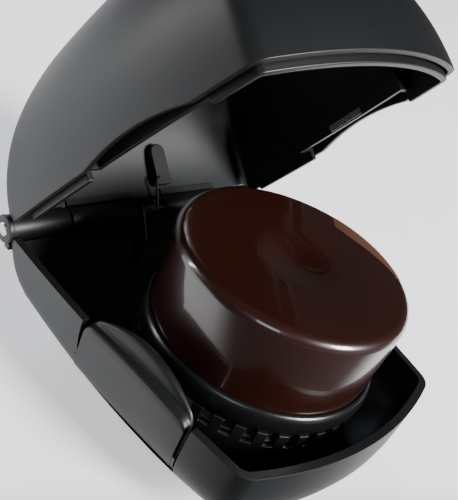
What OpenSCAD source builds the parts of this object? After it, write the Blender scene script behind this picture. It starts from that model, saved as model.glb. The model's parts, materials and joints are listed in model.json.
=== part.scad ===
// Clamshell pod coffee machine, lid sprung open, with a pod in its seat.
// X runs from the hinge to the front, Y along the hinge, Z up. Millimetres.
// The origin is on the floor, under the middle of the whole machine.

/* [Clamshell] */
// Half the width of both shells at the hinge
half_width = 44; // [43:0.5:48]
// Distance from the hinge axis to the middle of the front edge
shell_length = 91.3; // [90:0.1:98]
// Radius of the long side arcs
side_radius = 440; // [400:10:700]
// Radius of the front arc
front_radius = 98; // [90:1:120]
// Corner radius at the front, seen from above
front_corner = 5; // [4.5:0.5:7]
// Corner radius beside the hinge, seen from above
rear_corner = 4; // [3:0.5:5]
// Angle between the open lid and the base
lid_open = 56.5; // [50:0.5:60]

/* [Lid] */
// Height of the dome over the mouth
lid_height = 47.7; // [46:0.1:54]
// Thickness of the dome's skin
lid_wall = 1.6; // [1.2:0.1:1.8]
// How far the inner lip hangs below the skin
lip_drop = 1.5; // [1:0.1:3]
// Height of the notch over each squeeze tab
notch_rise = 2.1; // [1.5:0.1:3]

/* [Base] */
// Depth of the bowl under the rim
base_depth = 22; // [21.5:0.5:24]
// Thickness of the bowl's wall
base_wall = 2; // [1.8:0.1:2.2]
// Height of the rim over the floor
rim_height = 25; // [25:0.5:28]

/* [Squeeze tabs] */
// Distance of the tab's rear end from the hinge axis
tab_start = 35.5; // [34:0.5:38]
// Distance of the tab's front end from the hinge axis
tab_end = 68.9; // [66:0.1:70]
// Visible slit at each end of a tab
slit = 1.2; // [1:0.1:1.5]
// Height of the tab's crest over the rim
crest = 5.5; // [4:0.1:5.5]

/* [Pod and seat] */
// Distance of the pod's axis from the hinge axis
pod_x = 51.7; // [50:0.1:53]
// Radius of the pod at its foot
pod_foot_r = 29.4; // [28:0.1:29.5]
// Radius of the pod at its shoulder
pod_top_r = 30; // [29:0.1:30.4]
// Height of the pod's top over the rim
pod_top = 24; // [22:0.1:24.4]
// Merlons round the castellated seat ring
merlons = 36; // [30:1:40]

/* [Hinge] */
// Outside radius of the hinge barrel
barrel_r = 3.5; // [3:0.1:3.8]
// Radius of the hinge pin
pin_r = 1; // [0.8:0.1:1.4]
// Half the width of the spring's gap in the barrel
spring_gap = 5.5; // [4:0.5:8]
// Distance from the middle to the split between base and lid knuckles
knuckle_split = 27; // [20:1:34]

/* [Hidden] */

$fn = 96;
eps = 0.01;
shell_colour = "#4b4d51";
liner_colour = "#3a3b3e";
steel_colour = "#c4c6c8";
rubber_colour = "#1b1b1c";
pod_colour = "#3a1a12";

// Roundness of the dome and of the bowl: towards the front, the hinge and the sides
dome_powers = [2.24, 2.35, 2.37];
bowl_powers = [6.7, 2.87, 6.2];
crown_x = 60.5;
corner_ease = 0.2;
dome_rings = 13;
bowl_rings = 11;
bowl_cut = 0.97;
dome_cut = 0.9985;

// Plan outline: three arcs a side and a straight hinge edge
side_centre = [0, half_width - side_radius];
front_centre = [shell_length - front_radius, 0];
corner_centre = circles_meet(side_centre, side_radius - front_corner,
                             front_centre, front_radius - front_corner);
rear_centre = [rear_corner, side_centre[1]
               + sqrt(pow(side_radius - rear_corner, 2) - pow(rear_corner, 2))];
rear_angle = bearing(side_centre, rear_centre);
corner_angle = bearing(side_centre, corner_centre);
front_angle = bearing(front_centre, corner_centre);

// Clearances and gaps
edge_gap = 0.2;
pin_half = half_width + 0.9;
barrel_relief = barrel_r + 0.3;
run_gap = 0.05;
lip_inset = base_wall + 0.4;
lip_wall = 1.6;
lip_root = 5;
lip_shelf = 1.2;
lip_start = 9;
band_inset = 6.2;
band_wall = 1.4;
band_z = [1.5, 7];
catch_wall = 0.4;
catch_half = 6;
catch_z = [1.8, 3.6];
tab_gap = 0.35;

// Knuckles along the barrel, and the block that joins each one to its shell
base_runs = [[-half_width + edge_gap, -knuckle_split], [knuckle_split, half_width - edge_gap]];
lid_runs = [[-knuckle_split + tab_gap, -spring_gap], [spring_gap, knuckle_split - tab_gap]];
root_start = 0.9;
root = [1.6, 4.9];

// Squeeze tabs, drawn straight along their chord
tab_mid = (tab_start + tab_end) / 2;
tab_half = (tab_end - tab_start) / 2;
tab_foot_half = tab_half + slit - tab_gap;
window_half = tab_half + slit;
window_floor = -15;
tab_floor = window_floor + tab_gap;
tab_step = -10;
tab_turn = atan(tab_mid / side_radius);
tab_wall = 2.4;
tab_lug = 2.1;
tab_pivot = [5.4, -12.4];
tab_barrel_r = 1.5;
tab_pin_r = 0.8;
tab_pin_half = 15.6;
ear = 1.9;
tab_stations = 24;

// Seat and pod heights, measured from the rim
ring_r = [29.6, 30.6];
ring_top = -4.4;
merlon_height = 4;
ring_floor = -16;
first_merlon = 1.3;
cup_r = 29.3;
cup_wall = 0.6;
cup_top = -5.4;
gasket_r = [23, 31.2];
gasket_top = -0.6;
collar_r = 29.8;
collar_z = [-4, 2];
foil_gap = 0.1;
pod_wall = 1.2;
shoulder_r = 2.6;
dimple_r = 12;
dimple_depth = 1.5;
dish_depth = 0.9;
nozzle_r = 6;
nozzle_bore = 3;
nozzle_tip = -23;

// Plinth
plinth_x = [9, 77];
plinth_half = 27;
plinth_rail = 9;
plinth_corner = 7;
pad_height = 1.5;
pad_r = 3.6;
plinth_floor = pad_height - rim_height;

// Injection head over the pod, in the lid's frame
head_z = 27;
head_r = 19;
head_plate = 2.4;
needle_tip = 22.5;

// The open lid leans back past the hinge, which sets the middle of the machine
lid_back = min([for (ring = dome_shape(0)) for (p = ring)
                p[0] * cos(lid_open) - (p[2] + edge_gap) * sin(lid_open)]);
hinge_x = -(shell_length + lid_back) / 2;

function roundness(s, power) = sqrt(max(0, 1 - pow(s, power)));
function bearing(a, b) = atan2(b[1] - a[1], b[0] - a[0]);
function circles_meet(a, ra, b, rb) =
    let (gap = norm(b - a), along = (ra * ra - rb * rb + gap * gap) / (2 * gap),
         aside = sqrt(ra * ra - along * along), e = (b - a) / gap)
    a + along * e + aside * [e[1], -e[0]];
function arc(centre, r, from, to, steps) =
    [for (i = [0:steps - 1]) let (t = from + (to - from) * i / steps) centre + r * [cos(t), sin(t)]];
function mirrored(points) = [for (i = [len(points) - 1:-1:0]) [points[i][0], -points[i][1]]];
function side_y(x, inset) = side_centre[1] + sqrt(pow(side_radius - inset, 2) - x * x);

// One side of the plan, from the middle of the hinge edge to the middle of the front edge
function half_plan(inset) = concat(
    [for (i = [0:3]) [inset, rear_centre[1] * i / 4]],
    arc(rear_centre, rear_corner - inset, 180, rear_angle, 3),
    arc(side_centre, side_radius - inset, rear_angle, corner_angle, 10),
    arc(corner_centre, front_corner - inset, corner_angle, front_angle, 3),
    arc(front_centre, front_radius - inset, front_angle, 0, 6));
function plan(inset) = let (half = half_plan(inset))
    concat(half, [[shell_length - inset, 0]], [for (p = mirrored(half)) if (p[1] < -eps) p]);

// The plan drawn in towards the crown at a share s of the height, with its corners easing off
function shrunk(points, s, powers) =
    let (fore = shell_length - crown_x, wide = half_width)
    [for (p = points)
        let (aft = p[0] > crown_x ? fore : crown_x,
             q = [(p[0] - crown_x) / aft, p[1] / wide],
             r = q * (1 - corner_ease * s) + q / norm(q) * corner_ease * s)
        [crown_x + r[0] * aft * roundness(s, p[0] > crown_x ? powers[0] : powers[1]),
         r[1] * wide * roundness(s, powers[2])]];

// A solid through rings of equal length, lowest first, with a fan of triangles over each end
module loft(rings) {
    n = len(rings[0]);
    top = len(rings) - 1;
    points = [for (ring = rings) each ring];
    sides = [for (j = [0:top - 1], i = [0:n - 1]) let (a = j * n + i, b = j * n + (i + 1) % n)
             each [[a, b, b + n], [a, b + n, a + n]]];
    foot = len(points);
    floor_fan = [for (i = [0:n - 1]) [(i + 1) % n, i, foot]];
    roof_fan = [for (i = [0:n - 1]) [top * n + i, top * n + (i + 1) % n, foot + 1]];
    polyhedron(concat(points, [middle(rings[0]), middle(rings[top])]), concat(sides, floor_fan, roof_fan));
}
function middle(points) = [for (k = [0:2]) (min([for (p = points) p[k]]) + max([for (p = points) p[k]])) / 2];

// Rings of the dome or the bowl over the plan, from the rim to the crown
function form(inset, height, powers, steps, cut) =
    let (rim = plan(inset), levels = [for (i = [0:steps - 1]) sin(90 * i / steps)])
    [for (s = concat([for (t = levels) if (t < cut) t], [cut]))
        [for (p = shrunk(rim, s, powers)) [p[0], p[1], height * s]]];
function dome_shape(inset) = form(inset, lid_height - inset, dome_powers, dome_rings, dome_cut);
function bowl_shape(inset) = form(inset, base_depth - inset, bowl_powers, bowl_rings, bowl_cut);

// The straight skirt lets a form cut right through a rim
function skirt_ring(inset, skirt) = skirt > 0 ? [[for (p = plan(inset)) [p[0], p[1], -skirt]]] : [];
module dome_form(inset, skirt = 0) { loft(concat(skirt_ring(inset, skirt), dome_shape(inset))); }
module bowl_form(inset, skirt = 0) {
    mirror([0, 0, 1]) loft(concat(skirt_ring(inset, skirt), bowl_shape(inset)));
}

// Frames: the base's, with the hinge axis as its Y axis, and the lid's, turned open
module in_base() { translate([hinge_x, 0, rim_height]) children(); }
module in_lid() { in_base() rotate([0, -lid_open, 0]) children(); }
module at_pod() { in_base() translate([pod_x, 0, 0]) children(); }
module along_hinge(from, to) { translate([0, to, 0]) rotate([90, 0, 0]) linear_extrude(to - from) children(); }
module on_far_side() { mirror([0, 1, 0]) children(); }

// Only what lies inside the lid's skin, or inside the bowl's wall
module inside_lid() {
    intersection() {
        children();
        translate([0, 0, edge_gap]) dome_form(lid_wall, lip_drop + 1);
    }
}
module inside_base() {
    intersection() {
        children();
        translate([0, 0, -edge_gap]) bowl_form(base_wall, 1);
    }
}

// Frame of the near tab: X along its chord, Y inwards, Z up
module tab_frame() { translate([tab_mid, -side_y(tab_mid, 0), 0]) rotate([0, 0, tab_turn]) children(); }
module at_tab() { in_base() tab_frame() children(); }

// ---- base ----
module base_casing() {
    color(shell_colour) in_base() difference() {
        translate([0, 0, -edge_gap]) bowl_form(0);
        translate([0, 0, -edge_gap]) bowl_form(base_wall, 1);
        along_hinge(-half_width - 1, half_width + 1) circle(barrel_relief);
        tab_window();
        on_far_side() tab_window();
        for (run = base_runs) knuckle_root(run, -root[1]);
        cover_foot();
        translate([pod_x, 0, -base_depth - 1]) cylinder(r = nozzle_r, h = base_depth);
    }
}

module tab_window() {
    depth = [-4, 5];
    tab_frame() translate([-window_half, depth[0], window_floor])
        cube([2 * window_half, depth[1] - depth[0], crest - window_floor]);
}

// Block that joins a knuckle to its shell's hinge wall, let into a pocket there
module knuckle_root(run, foot) {
    along_hinge(run[0], run[1]) translate([root_start, foot]) square(root);
}

module knuckle(run, foot, bore) {
    difference() {
        union() {
            along_hinge(run[0], run[1]) circle(barrel_r);
            knuckle_root(run, foot);
        }
        along_hinge(run[0] - 1, run[1] + 1) circle(bore);
    }
}
module base_knuckle_near() { color(shell_colour) in_base() knuckle(base_runs[0], -root[1], pin_r); }
module base_knuckle_far() { color(shell_colour) in_base() knuckle(base_runs[1], -root[1], pin_r); }

// Paddle on the hinge wall that backs one leg of the spring: straight sides and a round end
module spring_pad(length, lean) {
    width = 5;
    start = 6;
    thickness = 4;
    rotate([0, lean, 0]) translate([pad_face, pad_side + width / 2, start]) rotate([0, -90, 0])
        linear_extrude(thickness) {
            translate([0, -width / 2]) square([length - width / 2, width]);
            translate([length - width / 2, 0]) circle(width / 2);
        }
}

module base_spring_pad() {
    color(liner_colour) in_base() inside_base() mirror([0, 0, 1]) mirror([0, 1, 0]) spring_pad(9.5, base_lean);
}

module plinth() {
    wide = plinth_half - plinth_corner;
    long = [plinth_x[0] + plinth_corner, plinth_x[1] - plinth_corner];
    color(liner_colour) in_base() difference() {
        translate([0, 0, plinth_floor]) linear_extrude(-plinth_floor - 12) difference() {
            rounded_box(long, wide, plinth_corner);
            rounded_box(long, wide - 1, plinth_corner + 1 - plinth_rail);
        }
        translate([0, 0, -edge_gap]) bowl_form(0, 1);
    }
}

// Rectangle with round corners whose centres lie at x = long[0] and long[1], y = +-wide
module rounded_box(long, wide, r) {
    corners = [[long[1], wide, 0], [long[0], wide, 90], [long[0], -wide, 180], [long[1], -wide, 270]];
    corner_r = max(r, 1.5);
    grow = r - corner_r;
    polygon([for (c = corners) let (q = [c[0] + (c[0] == long[0] ? -grow : grow), c[1] + sign(c[1]) * grow])
             each concat(arc(q, corner_r, c[2], c[2] + 90, 8), [q + corner_r * [cos(c[2] + 90), sin(c[2] + 90)]])]);
}

module foot_pad(fore, side) {
    inset = plinth_rail / 2;
    color(rubber_colour) in_base()
        translate([fore > 0 ? plinth_x[1] - inset : plinth_x[0] + inset,
                   side * (plinth_half - inset), -rim_height]) cylinder(r = pad_r, h = pad_height);
}
module foot_pad_1() { foot_pad(-1, -1); }
module foot_pad_2() { foot_pad(-1, 1); }
module foot_pad_3() { foot_pad(1, -1); }
module foot_pad_4() { foot_pad(1, 1); }

// ---- seat ----
module seat_ring() {
    pitch = 360 / merlons;
    color(liner_colour) at_pod() difference() {
        tube(ring_r[0], ring_r[1], ring_floor, ring_top);
        for (i = [0:merlons - 1])
            rotate([0, 0, first_merlon + (i + 0.5) * pitch])
                translate([ring_r[0] - 1, -ring_r[1] * sin(pitch / 4), ring_top - merlon_height])
                    cube([3, 2 * ring_r[1] * sin(pitch / 4), merlon_height + 1]);
    }
}

module tube(inner, outer, from, to) {
    rotate_extrude() translate([inner, from]) square([outer - inner, to - from]);
}

module brew_cup() {
    drain_r = 2;
    color(steel_colour) at_pod() rotate_extrude() polygon([
        [drain_r, ring_floor], [cup_r, ring_floor], [cup_r, cup_top],
        [cup_r - cup_wall, cup_top], [cup_r - cup_wall, ring_floor + cup_wall],
        [drain_r, ring_floor + cup_wall]]);
}

module piercing_plate() {
    plate = [-7.4, -6.2];
    skirt = 1.2;
    spike = 4;
    pitch = 7.4;
    reach = 3;
    color(steel_colour) at_pod() {
        difference() {
            union() {
                tube(gasket_r[0] - skirt - 0.5, gasket_r[0] - 0.5, ring_floor + cup_wall, plate[0] + eps);
                translate([0, 0, plate[0]]) cylinder(r = gasket_r[0] - 0.5, h = plate[1] - plate[0]);
            }
            translate([0, 0, plate[0] - 1]) cylinder(r = 1.2, h = 4);
        }
        for (i = [-reach:reach], j = [-reach:reach])
            if (norm([i, j]) < reach + 0.1 && norm([i, j]) > 0)
                translate([i * pitch * 0.86, j * pitch * 0.86, plate[1] - eps])
                    rotate([0, 0, 45]) cylinder(r1 = 2, r2 = 0.15, h = spike, $fn = 4);
    }
}

// Ledge under the pod's foot, and a bulging collar round it that rolls out over the ring
module seat_gasket() {
    bulge = gasket_r[1] - collar_r;
    middle_z = (collar_z[0] + collar_z[1]) / 2;
    half = (collar_z[1] - collar_z[0]) / 2;
    color(rubber_colour) at_pod() rotate_extrude() polygon(concat(
        [[gasket_r[0], cup_top], [cup_r, cup_top], [cup_r, collar_z[0]]],
        [for (i = [0:10]) let (t = -90 + 18 * i) [collar_r + bulge * cos(t), middle_z + half * sin(t)]],
        [[collar_r - 0.1, collar_z[1]], [collar_r - 0.1, gasket_top], [gasket_r[0], gasket_top]]));
}

module outlet_nozzle() {
    flange_r = 9;
    flange_floor = -19.1;
    color(rubber_colour) at_pod() rotate_extrude() polygon([
        [nozzle_bore, nozzle_tip], [nozzle_r - 1.6, nozzle_tip], [nozzle_r, nozzle_tip + 2],
        [nozzle_r, flange_floor], [flange_r, flange_floor], [flange_r, ring_floor],
        [nozzle_bore, ring_floor]]);
}

// ---- pod ----
// The pod's top surface: a shallow dish with a dimple in the middle
function pod_crown(r) =
    let (dish = -dish_depth * pow(cos(90 * min(1, r / (pod_top_r - shoulder_r))), 2),
         dimple = r < dimple_r ? -dimple_depth * (1 + cos(180 * r / dimple_r)) / 2 : 0)
    pod_top + dish + dimple;

module pod_shell() {
    foot = gasket_top + foil_gap;
    edge_r = pod_top_r - shoulder_r;
    inner = pod_top_r - pod_wall;
    outer_line = concat(
        [[pod_foot_r, foot]],
        [for (i = [0:8]) let (t = 90 * i / 8) [edge_r + shoulder_r * cos(t), pod_top - shoulder_r + shoulder_r * sin(t)]],
        [for (i = [1:18]) let (r = edge_r * (1 - i / 18)) [r, pod_crown(r)]]);
    inner_line = concat(
        [for (i = [0:9]) let (r = (edge_r - 0.5) * i / 9) [r, pod_crown(r) - pod_wall]],
        [[inner, pod_top - shoulder_r - 1], [pod_foot_r - pod_wall, foot]]);
    color(pod_colour) at_pod() rotate_extrude() polygon(concat(outer_line, inner_line));
}

module pod_foil() {
    color("#b9a58c") at_pod() translate([0, 0, gasket_top]) cylinder(r = pod_foot_r, h = foil_gap);
}

module pod_filter() {
    color("#d8cdb8") at_pod() translate([0, 0, gasket_top + foil_gap + 0.2])
        cylinder(r = pod_foot_r - pod_wall - 0.3, h = 0.4);
}

module coffee_bed() {
    color("#2a1710") at_pod() translate([0, 0, gasket_top + foil_gap + 0.8])
        cylinder(r = pod_foot_r - pod_wall - 0.4, h = 15);
}

// ---- squeeze tabs ----
// How far the bowl's wall leans in at height z below the rim, at the middle of the tab
function lean_in(z) = z >= 0 ? 0
    : side_y(tab_mid, 0) * (1 - roundness(-z / base_depth, bowl_powers[2]));

// One cross-section of the tab at u along its chord, as points of inset and height
function tab_section(u) =
    let (bow = side_radius - sqrt(side_radius * side_radius - u * u),
         share = 1 - pow(u / tab_half, 2),
         h = max(0, share),
         round_end = 2.4,
         past = max(0, abs(u) - tab_half + round_end) / round_end,
         drop = round_end * (1 - sqrt(max(0, 1 - pow(past, 2)))) * 0.8,
         heights = [tab_floor, -12, tab_step, -6, -3])
    concat(
        [for (z = heights) [bow + lean_in(z), z]],
        [[bow, 0.9 * h - 0.5 - drop], [bow + 0.5, h - 0.1 - drop], [bow + 1.85, 1.6 * h - drop],
         [bow + 2.35, (crest - 0.5) * h + 0.3 - drop], [bow + 2.6, (crest - 0.35) * h + 0.35 - drop],
         [bow + 2.6 + (tab_lug - 0.3) * h, (crest - 0.5) * h + 0.3 - drop],
         [bow + 2.7 + (tab_lug - 0.3) * h, (crest - 2) * h + 0.1 - drop],
         [bow + tab_wall, -3.4], [bow + tab_wall + lean_in(-6), -6],
         [bow + tab_wall + lean_in(tab_step), tab_step],
         [bow + tab_wall + lean_in(tab_floor) - 0.4, tab_floor]]);

module tab_body() {
    stations = [for (i = [0:tab_stations]) -tab_half * cos(180 * i / tab_stations)];
    sections = [for (u = stations) [for (p = tab_section(u)) [u, p[0], p[1]]]];
    foot = [tab_floor, tab_step];
    foot_sections = [for (u = [-tab_foot_half, 0, tab_foot_half])
        let (bow = side_radius - sqrt(side_radius * side_radius - u * u))
        [[u, bow + lean_in(foot[0]), foot[0]], [u, bow + lean_in(-12), -12],
         [u, bow + lean_in(foot[1]), foot[1]],
         [u, bow + tab_wall + lean_in(foot[1]), foot[1]], [u, bow + tab_wall + lean_in(foot[0]) - 0.4, foot[0]]]];
    barrel_half = tab_pin_half - ear - tab_gap;
    difference() {
        union() {
            loft(sections);
            loft(foot_sections);
            translate([-barrel_half, tab_pivot[0], tab_pivot[1]]) rotate([0, 90, 0])
                cylinder(r = tab_barrel_r, h = 2 * barrel_half);
            translate([-barrel_half, tab_wall, tab_pivot[1]])
                cube([2 * barrel_half, tab_pivot[0] - tab_wall - tab_pin_r, tab_barrel_r]);
        }
        translate([-tab_foot_half - 1, tab_pivot[0], tab_pivot[1]]) rotate([0, 90, 0])
            cylinder(r = tab_pin_r + run_gap, h = 2 * tab_foot_half + 2);
    }
}
module tab_near() { color(shell_colour) at_tab() tab_body(); }
module tab_far() { color(shell_colour) on_far_side() at_tab() tab_body(); }

module tab_pin() {
    translate([-tab_pin_half, tab_pivot[0], tab_pivot[1]]) rotate([0, 90, 0])
        cylinder(r = tab_pin_r, h = 2 * tab_pin_half);
}
module tab_pin_near() { color(steel_colour) at_tab() tab_pin(); }
module tab_pin_far() { color(steel_colour) on_far_side() at_tab() tab_pin(); }

// Bar on the bowl's floor with an ear at each end that holds the tab's pin
module tab_bracket() {
    bar = [7.3, 8.5];
    floor = -18;
    top = -11;
    ear_start = tab_wall + 1.5;
    difference() {
        union() {
            translate([-tab_pin_half, bar[0], floor]) cube([2 * tab_pin_half, bar[1] - bar[0], top - floor]);
            for (x = [-tab_pin_half, tab_pin_half - ear])
                translate([x, ear_start, tab_pivot[1] - tab_barrel_r])
                    cube([ear, bar[1] - ear_start, 2 * tab_barrel_r]);
        }
        tab_pin();
    }
}
module tab_bracket_near() { color(liner_colour) in_base() inside_base() tab_frame() tab_bracket(); }
module tab_bracket_far() { color(liner_colour) in_base() inside_base() on_far_side() tab_frame() tab_bracket(); }

// ---- hinge ----
module hinge_pin() {
    color(steel_colour) in_base() along_hinge(-pin_half, pin_half) circle(pin_r);
}

// Round cover over one end of the barrel, with the pin's riveted head in it
module pin_cap() {
    disc = [half_width - 0.15, pin_half];
    rim = barrel_r + 0.1;
    head = 0.5;
    color(shell_colour) in_base() rotate([90, 0, 0]) rotate_extrude() polygon(concat(
        [[pin_r, disc[0]], [rim, disc[0]], [rim, disc[1] - 0.4], [rim - 0.5, disc[1]], [2.1, disc[1]]],
        [for (i = [0:6]) [2 * cos(15 * i), disc[1] + head * sin(15 * i)]],
        [[0, disc[1]], [pin_r, disc[1]]]));
}
module pin_cap_near() { pin_cap(); }
module pin_cap_far() { on_far_side() pin_cap(); }

// Half round cover behind the coil, standing on the base's hinge wall
module spring_cover() {
    half = spring_gap - 0.3;
    inner = 3.05;
    color(shell_colour) in_base() along_hinge(-half, half) {
        difference() {
            circle(barrel_r);
            circle(inner);
            translate([0, -barrel_r]) square(2 * barrel_r);
        }
        translate([0, -barrel_r]) square([root_start + eps, barrel_r - inner]);
    }
    color(shell_colour) in_base() cover_foot();
}
module cover_foot() {
    half = spring_gap - 0.3;
    along_hinge(-half, half) translate([root_start, -root[1]]) square([1, root[1] - 3.05]);
}

// Torsion spring: a coil round the pin with one leg down the base and one up the lid
spring_r = 2.4;
wire_r = 0.4;
spring_turns = 6;
spring_half = 2.6;
leg_reach = 8;
leg_x = 4.9;
leg_hook = 1.2;
base_lean = 20;
lid_lean = 8;
pad_face = leg_x - wire_r - 0.05;
pad_side = spring_half + 0.7;
function turned(p, angle) = [p[0] * cos(angle) + p[2] * sin(angle), p[1], p[2] * cos(angle) - p[0] * sin(angle)];
leg_path = [[leg_x, spring_half + leg_hook, leg_reach], [leg_x, spring_half + 0.6, leg_reach],
            [leg_x - 0.15, spring_half, leg_reach - 0.8]];
lid_path = [for (p = leg_path) turned(p, lid_lean - lid_open)];
base_path = [for (p = leg_path) let (q = turned(p, base_lean)) [q[0], -q[1], -q[2]]];
coil_sweep = 360 * spring_turns + lid_open - lid_lean - base_lean;
coil_steps = spring_turns * 12 + 2;
spring_line = concat(
    base_path,
    [for (i = [0:coil_steps]) let (t = base_lean + coil_sweep * i / coil_steps)
        [spring_r * cos(t), -spring_half + 2 * spring_half * i / coil_steps, spring_r * sin(t)]],
    reversed(lid_path));

// Round wire through a line of points
module wire(line, r, sides = 8) {
    last = len(line) - 1;
    function heading(i) = let (d = line[min(i + 1, last)] - line[max(i - 1, 0)]) d / norm(d);
    loft([for (i = [0:last]) let (d = heading(i), a = cross(d, [0.1, 1, 0.05]), e = a / norm(a), f = cross(d, e))
          [for (k = [0:sides - 1]) let (t = -360 * k / sides) line[i] + r * (cos(t) * e + sin(t) * f)]]);
}
module torsion_spring() { color(steel_colour) in_base() wire(spring_line, wire_r); }

// ---- lid ----
module lid_casing() {
    color(shell_colour) in_lid() difference() {
        translate([0, 0, edge_gap]) dome_form(0);
        translate([0, 0, edge_gap]) dome_form(lid_wall, 1);
        along_hinge(-half_width - 1, half_width + 1) circle(barrel_relief);
        notch();
        on_far_side() notch();
        for (run = lid_runs) knuckle_root(run, 0);
    }
}

// Shallow arch cut up into the skin over a tab
module notch() {
    reach = tab_half - 0.6;
    arch = [for (i = [1:15]) let (u = reach * (1 - i / 8)) [u, notch_rise * (1 - pow(u / reach, 2))]];
    tab_frame() translate([0, 6, edge_gap]) rotate([90, 0, 0])
        linear_extrude(12) polygon(concat([[-reach, -2], [reach, -2], [reach, 0]], arch, [[-reach, 0]]));
}

// Strip of the plan between two insets, from x0 to x1, on the far side
function side_strip(x0, x1, inner, outer, steps = 8) = concat(
    [for (i = [0:steps]) let (x = x0 + (x1 - x0) * i / steps) [x, side_y(x, outer)]],
    [for (i = [steps:-1:0]) let (x = x0 + (x1 - x0) * i / steps) [x, side_y(x, inner)]]);

// The lip hangs inside the mouth from a shelf that meets the skin
module lip_web(from, to) {
    foot = from > 0 ? from : -lip_drop;
    translate([0, 0, edge_gap + foot]) linear_extrude(to - foot) children();
}

module lip_strip(x0, x1) {
    strip = side_strip(x0, x1, lip_inset + lip_wall, lip_inset);
    root = side_strip(x0, x1, lip_inset + lip_wall, lid_wall - eps);
    lip_web(0, lip_root - lip_shelf) polygon(strip);
    lip_web(lip_root - lip_shelf, lip_root) polygon(root);
}
lip_gap = [tab_mid - window_half - 0.6, tab_mid + window_half + 0.8];
module lid_lip_near() { color(liner_colour) in_lid() inside_lid() on_far_side() lip_strip(lip_start, lip_gap[0]); }
module lid_lip_far() { color(liner_colour) in_lid() inside_lid() lip_strip(lip_start, lip_gap[0]); }

// Front lip: from one tab round the front to the other
module lid_lip_front() {
    color(liner_colour) in_lid() inside_lid() {
        lip_web(0, lip_root - lip_shelf)
            polygon(concat(front_run(lip_inset), reversed(front_run(lip_inset + lip_wall))));
        lip_web(lip_root - lip_shelf, lip_root)
            polygon(concat(front_run(lid_wall - eps), reversed(front_run(lip_inset + lip_wall))));
    }
}
function reversed(list) = [for (i = [len(list) - 1:-1:0]) list[i]];
function front_run(inset) =
    let (start = [lip_gap[1], side_y(lip_gap[1], inset)],
         half = concat([start], [for (p = half_plan(inset)) if (p[0] > lip_gap[1] + 0.5) p]))
    concat(half, [[shell_length - inset, 0]], mirrored(half));

// Recessed wall behind each notch
module band() {
    inner = band_inset + band_wall;
    translate([0, 0, band_z[0]]) linear_extrude(band_z[1] - band_z[0])
        polygon(side_strip(lip_gap[0] - band_wall, lip_gap[1] + band_wall, inner, band_inset));
    for (x = [lip_gap[0] - band_wall, lip_gap[1]])
        translate([0, 0, band_z[0]]) linear_extrude(lip_root - band_z[0])
            polygon(side_strip(x, x + band_wall, inner, lip_inset + lip_wall + eps, 1));
}
module lid_band_near() { color(liner_colour) in_lid() on_far_side() band(); }
module lid_band_far() { color(liner_colour) in_lid() band(); }

// Steel wear strip on the inner face of the recessed wall
module catch() {
    span = [tab_mid - catch_half, tab_mid + catch_half];
    inset = band_inset + band_wall;
    translate([0, 0, catch_z[0]]) linear_extrude(catch_z[1] - catch_z[0])
        polygon(side_strip(span[0], span[1], inset + catch_wall, inset + eps));
}
module lid_catch_near() { color(steel_colour) in_lid() on_far_side() catch(); }
module lid_catch_far() { color(steel_colour) in_lid() catch(); }

module lid_knuckle_near() { color(shell_colour) in_lid() knuckle(lid_runs[0], 0, pin_r + run_gap); }
module lid_knuckle_far() { color(shell_colour) in_lid() knuckle(lid_runs[1], 0, pin_r + run_gap); }

module lid_spring_pad() {
    color(liner_colour) in_lid() inside_lid() spring_pad(12, lid_lean);
}

// ---- injection head, under the dome ----
module at_head() { in_lid() translate([pod_x, 0, 0]) children(); }

module head_bracket() {
    color(liner_colour) at_head() {
        intersection() {
            tube(6, 8, head_z + head_plate, lid_height);
            translate([-pod_x, 0, edge_gap]) dome_form(lid_wall);
        }
        for (a = [45:90:315]) rotate([0, 0, a])
            translate([7.5, -0.8, head_z + head_plate]) cube([10, 1.6, 9]);
    }
}

module injection_head() {
    color("#8c8f93") at_head() difference() {
        translate([0, 0, head_z]) cylinder(r = head_r, h = head_plate);
        translate([0, 0, head_z - 1]) cylinder(r = 1.5, h = head_plate + 2);
    }
}

module injection_needle() {
    shaft = 1.5;
    color(steel_colour) at_head() rotate_extrude() polygon([
        [0.5, head_z + head_plate], [0.5, needle_tip + 0.6], [0.7, needle_tip],
        [shaft, needle_tip + 3], [shaft, head_z + head_plate]]);
}

module head_gasket() {
    color(rubber_colour) at_head() tube(13, 17, head_z - 2, head_z);
}

base_casing();
base_knuckle_near();
base_knuckle_far();
base_spring_pad();
plinth();
foot_pad_1();
foot_pad_2();
foot_pad_3();
foot_pad_4();
seat_ring();
brew_cup();
piercing_plate();
seat_gasket();
outlet_nozzle();
pod_shell();
pod_foil();
pod_filter();
coffee_bed();
tab_bracket_near();
tab_bracket_far();
tab_pin_near();
tab_pin_far();
hinge_pin();
pin_cap_near();
pin_cap_far();
spring_cover();
torsion_spring();
tab_near();
tab_far();
lid_casing();
lid_lip_front();
lid_lip_near();
lid_lip_far();
lid_band_near();
lid_band_far();
lid_catch_near();
lid_catch_far();
lid_knuckle_near();
lid_knuckle_far();
lid_spring_pad();
head_bracket();
injection_head();
injection_needle();
head_gasket();
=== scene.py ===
import json
import math

import bmesh
import bpy
from mathutils import Matrix, Vector


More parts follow.
